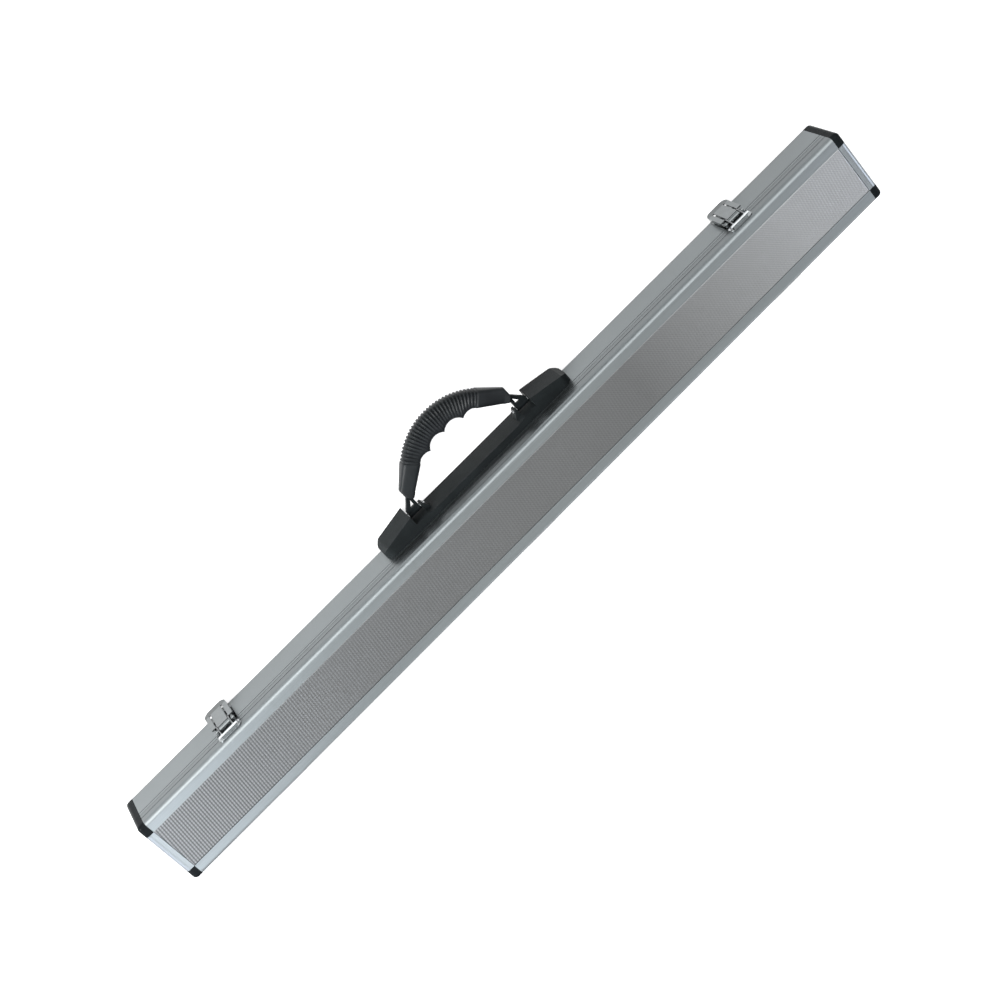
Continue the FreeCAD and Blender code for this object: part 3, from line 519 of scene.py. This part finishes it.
def arc_through(first, middle, last):
    """Points along the round arc through three points, the last left out."""
    (ax, ay), (bx, by), (cx, cy) = first, middle, last
    twice_area = 2 * (ax * (by - cy) + bx * (cy - ay) + cx * (ay - by))
    a, b, c = (x * x + y * y for x, y in (first, middle, last))
    centre_x = (a * (by - cy) + b * (cy - ay) + c * (ay - by)) / twice_area
    centre_y = (a * (cx - bx) + b * (ax - cx) + c * (bx - ax)) / twice_area
    radius = math.hypot(ax - centre_x, ay - centre_y)
    start = math.atan2(ay - centre_y, ax - centre_x)
    turn = math.atan2(cy - centre_y, cx - centre_x) - start
    turn = (turn + math.pi) % TAU - math.pi
    angles = start + turn * np.arange(ARC_POINTS) / ARC_POINTS
    return [
        (centre_x + radius * math.cos(angle), centre_y + radius * math.sin(angle))
        for angle in angles
    ]


def finger_side():
    """The inner edge of one half, from the middle cusp through the hollows to the tip."""
    points = arc_through(MIDDLE_CUSP, HOLLOW, SIDE_CUSP) + arc_through(SIDE_CUSP, END_HOLLOW, HEEL)
    heel_to_tip = np.subtract(TIP, HEEL)
    points += [tuple(np.array(HEEL) + heel_to_tip * share) for share in np.linspace(0, 1, STRAIGHT_POINTS)]
    return np.array(points).T


def grip_stations():
    """Pairs of outer and inner points along the grip, each with a rib height and how ribbed it is."""
    span = math.asin(ARC_HALF_SPAN / ARC_RADIUS)
    inner_x, inner_reach = finger_side()
    straight = (GRIP_END - ARC_HALF_SPAN) / math.cos(span)
    arc_length = ARC_RADIUS * span
    total = arc_length + straight
    stations = []
    for place in np.linspace(-total, total, STATIONS):
        side, run = (1 if place >= 0 else -1), abs(place)
        angle = min(run / ARC_RADIUS, span)
        beyond = max(run - arc_length, 0)
        x = ARC_RADIUS * math.sin(angle) + beyond * math.cos(span)
        reach = ARC_CENTRE + ARC_RADIUS * math.cos(angle) - beyond * math.sin(span)
        inward = np.array((-math.sin(angle), -math.cos(angle)))
        offset = (inner_x - x) * inward[1] - (inner_reach - reach) * inward[0]
        nearest = int(np.argmin(np.abs(offset)))
        inner = (side * inner_x[nearest], inner_reach[nearest])
        ribbed = min(max((arc_length - run) / RIB_FADE_RUN, 0), 1)
        rib = (0.5 + 0.5 * math.cos(TAU * place / RIB_PITCH)) ** RIB_POWER
        stations.append(((side * x, reach), inner, rib, ribbed))
    return stations


def grip_tip(side):
    """The last stations at one end, from the outer corner down to the slanted end face."""
    span = math.asin(ARC_HALF_SPAN / ARC_RADIUS)
    corner = ARC_CENTRE + ARC_RADIUS * math.cos(span) - math.tan(span) * (GRIP_END - ARC_HALF_SPAN)
    steps = []
    for share in TIP_SHARES:
        outer = (side * GRIP_END, corner + (END_FACE_REACH - corner) * share)
        inner = (side * (TIP_START[0] + TIP_RUN[0] * share), TIP_START[1] + TIP_RUN[1] * share)
        steps.append((outer, inner, 0, 0))
    return steps


def half_thickness(x):
    """Half the grip's height, thinner towards its ends."""
    taper = max(abs(x) - ARC_HALF_SPAN, 0) / (GRIP_END - ARC_HALF_SPAN)
    return HALF_THICKNESS - END_THINNING * min(taper, 1)


def superellipse(angle, power):
    c, s = math.cos(angle), math.sin(angle)
    return math.copysign(abs(c) ** power, c), math.copysign(abs(s) ** power, s)


def grip_section(outer, inner, rib, ribbed):
    """One closed ring of points. The ribs go round the outer side and stop short of the finger side."""
    middle = ((outer[0] + inner[0]) / 2, (outer[1] + inner[1]) / 2)
    half = math.hypot(outer[0] - inner[0], outer[1] - inner[1]) / 2
    axis = ((outer[0] - middle[0]) / half, (outer[1] - middle[1]) / half)
    thick = half_thickness(outer[0])
    ring = []
    for k in range(POINTS_AROUND):
        c, s = superellipse(TAU * k / POINTS_AROUND, SMOOTH_POWER + RIBBED_EXTRA_POWER * ribbed)
        wrap = min(max(RIB_WRAP + c, 0), 1)
        cut = RIB_DEPTH * (1 - rib) * ribbed * wrap
        out = c * (half - cut)
        ring.append(out_of_handle(middle[0] + axis[0] * out, middle[1] + axis[1] * out, s * (thick - cut)))
    return ring


def ribbed_grip():
    stations = grip_tip(-1)[::-1] + grip_stations() + grip_tip(1)
    vertices = [point for station in stations for point in grip_section(*station)]
    faces = []
    for i in range(len(stations) - 1):
        here, there = i * POINTS_AROUND, (i + 1) * POINTS_AROUND
        for k in range(POINTS_AROUND):
            following = (k + 1) % POINTS_AROUND
            faces.append((here + k, here + following, there + following, there + k))
    last = (len(stations) - 1) * POINTS_AROUND
    faces.append(list(range(POINTS_AROUND))[::-1])
    faces.append([last + k for k in range(POINTS_AROUND)])
    grip = new_piece("ribbed_grip", vertices, faces, "handle", GRIP_PLASTIC)
    recalculate_normals(grip)
    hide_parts("handle_grip")


# ---------------------------------------------------------------- soft lining

VOXEL = 1.6 * MM
LINING_INSET = 0.25 * MM
# Wavelengths and depths.
LINING_WAVES = ((90 * MM, 0.25 * MM), (31 * MM, 0.12 * MM), (11 * MM, 0.06 * MM))
WAVE_DIRECTIONS = 6
LINING_SEED = 7


def rounded_copy(node):
    """A copy of a plain CAD solid with its edges rounded off."""
    piece = bpy.data.objects.new(f"{node}_plush", frame["nodes"][node].data.copy())
    bpy.context.scene.collection.objects.link(piece)
    remesh = piece.modifiers.new("voxels", "REMESH")
    remesh.mode = "VOXEL"
    remesh.voxel_size = VOXEL
    remesh.use_smooth_shade = True
    smooth = piece.modifiers.new("soften", "SMOOTH")
    smooth.factor = 0.5
    smooth.iterations = 3
    apply_modifiers(piece)
    return piece


def unevenness(places):
    """How far the surface lies below its inset at each place, from gentle waves of several lengths."""
    rng = np.random.default_rng(LINING_SEED)
    total = np.zeros(len(places))
    for wavelength, depth in LINING_WAVES:
        direction = rng.normal(size=(WAVE_DIRECTIONS, 3))
        direction /= np.linalg.norm(direction, axis=1)[:, None]
        phase = rng.uniform(0, TAU, WAVE_DIRECTIONS)
        total += depth * np.sin(places @ direction.T * TAU / wavelength + phase).mean(1)
    return total


def soft_lining(node, body):
    """Foam grown from its plain solid: rounded edges and a slightly uneven, brushed surface."""
    piece = rounded_copy(node)
    mesh = piece.data
    places = np.empty(len(mesh.vertices) * 3)
    normals = np.empty(len(mesh.vertices) * 3)
    mesh.vertices.foreach_get("co", places)
    mesh.vertices.foreach_get("normal", normals)
    places = places.reshape(-1, 3)
    places -= normals.reshape(-1, 3) * (LINING_INSET + unevenness(places))[:, None]
    low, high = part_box(node)
    places = np.clip(places, np.array(low), np.array(high))
    mesh.vertices.foreach_set("co", places.reshape(-1))
    mesh.update()
    mesh.shade_smooth()
    dress(piece, PLUSH)
    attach(piece, body)
    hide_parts(node)


# ---------------------------------------------------------------- carried-over pieces


def finish_of(node):
    """The material of a CAD node that stays, and the width in millimetres of its softened edges."""
    if node.endswith("_board"):
        return BOARD, 0
    if node.endswith("_end_rail"):
        return END_ALUMINIUM, 0.15
    if node.endswith("_rail"):
        return (LID_ALUMINIUM if node.startswith("lid") else BASE_ALUMINIUM), 0.15
    if node.endswith("_corner"):
        return CAP_PLASTIC, 0.3
    if node.endswith("_link"):
        return CAP_PLASTIC, 0.5
    if node == "handle_mount":
        return MOUNT_PLASTIC, 0.9
    if node.endswith("_keeper"):
        return KEEPER_CHROME, 0.2
    if node.endswith("_hook") or node.endswith("hook_pin"):
        return HOOK_CHROME, 0.15
    if node.startswith("latch_") and not node.endswith("rivets"):
        return LEVER_CHROME, 0.5 if node.endswith("_lever") else 0.2
    return STEEL, 0.1


def dress_cad_nodes():
    for name, node in frame["nodes"].items():
        if node.hide_render:
            continue
        material, edge = finish_of(name)
        dress(node, material)
        if edge:
            soften_edges(node, edge * MM)


# ---------------------------------------------------------------- stage

WHITE = (1, 1, 1)
COOL = (0.88, 0.925, 1.0)
WARM = (1.0, 0.985, 0.95)
LAVENDER = (0.84, 0.87, 1.0)

# Name, place, target, width and height, watts, colour.
LIGHTS = (
    ("key_left", (0.85, -1.35, 1.3), (0.2, 0, 0), (1.4, 2.0), 30, WHITE),
    ("key_right", (-1.1, -1.35, 1.4), (-0.3, 0, 0), (1.4, 2.0), 19, WHITE),
    ("side_left", (1.9, -0.8, 1.0), (0.4, -0.1, 0), (1.0, 1.0), 145, WHITE),
    ("back_fill", (-0.2, 2.5, 1.5), (0, 0.3, 0), (2.6, 1.0), 22, WHITE),
    ("overhead", (0, -0.30, 2.3), (0, 0, 0), (2.6, 1.5), 28, WHITE),
    ("sky_bank", (-0.05, 1.05, 2.0), (0, 0, 0), (1.9, 0.9), 3.5, WARM),
    ("left_bank", (0.98, 1.05, 1.85), (0.3, 0, 0), (0.5, 0.9), 8.0, COOL),
    ("right_bank", (-2.1, 0.9, 1.6), (-0.3, 0, 0), (1.6, 1.4), 30, LAVENDER),
    ("end_light", (2.0, 1.0, 1.1), (0.4, 0, 0), (1.0, 1.0), 16, LAVENDER),
)
FLOOR_REACH = 40
FLOOR_GLOW = 0.7


def area_light(name, place, target, size, power, colour):
    data = bpy.data.lights.new(name, "AREA")
    data.shape = "RECTANGLE"
    data.size, data.size_y = size
    data.energy = power
    data.color = colour
    light = bpy.data.objects.new(name, data)
    light.location = place
    light.rotation_euler = (Vector(target) - Vector(place)).to_track_quat("-Z", "Y").to_euler()
    bpy.context.scene.collection.objects.link(light)


def pale_floor():
    """A wide floor that glows a little, so that it stays pale under the case."""
    mesh = bpy.data.meshes.new("floor")
    corners = [(x * FLOOR_REACH, y * FLOOR_REACH, 0) for x, y in ((-1, -1), (1, -1), (1, 1), (-1, 1))]
    mesh.from_pydata(corners, [], [(0, 1, 2, 3)])
    floor = bpy.data.objects.new("floor", mesh)
    bpy.context.scene.collection.objects.link(floor)
    pale = Surface("pale_floor", (0.40, 0.402, 0.404), 0.8)
    pale.set(Emission_Color=(1, 1, 1, 1), Emission_Strength=FLOOR_GLOW)
    dress(floor, pale.material)


def studio():
    pale_floor()
    world = bpy.data.worlds.new("studio")
    world.use_nodes = True
    background = world.node_tree.nodes["Background"]
    background.inputs["Color"].default_value = (0.94, 0.95, 0.95, 1)
    background.inputs["Strength"].default_value = 0.36
    bpy.context.scene.world = world
    bpy.context.scene.view_settings.view_transform = "Standard"
    for light in LIGHTS:
        area_light(*light)


# ---------------------------------------------------------------- make it

embossed_panel("lid", 1)
embossed_panel("base", -1)
ribbed_grip()
soft_lining("base_foam_insert", "base")
soft_lining("lid_foam_pad", "lid")
dress_cad_nodes()
studio()
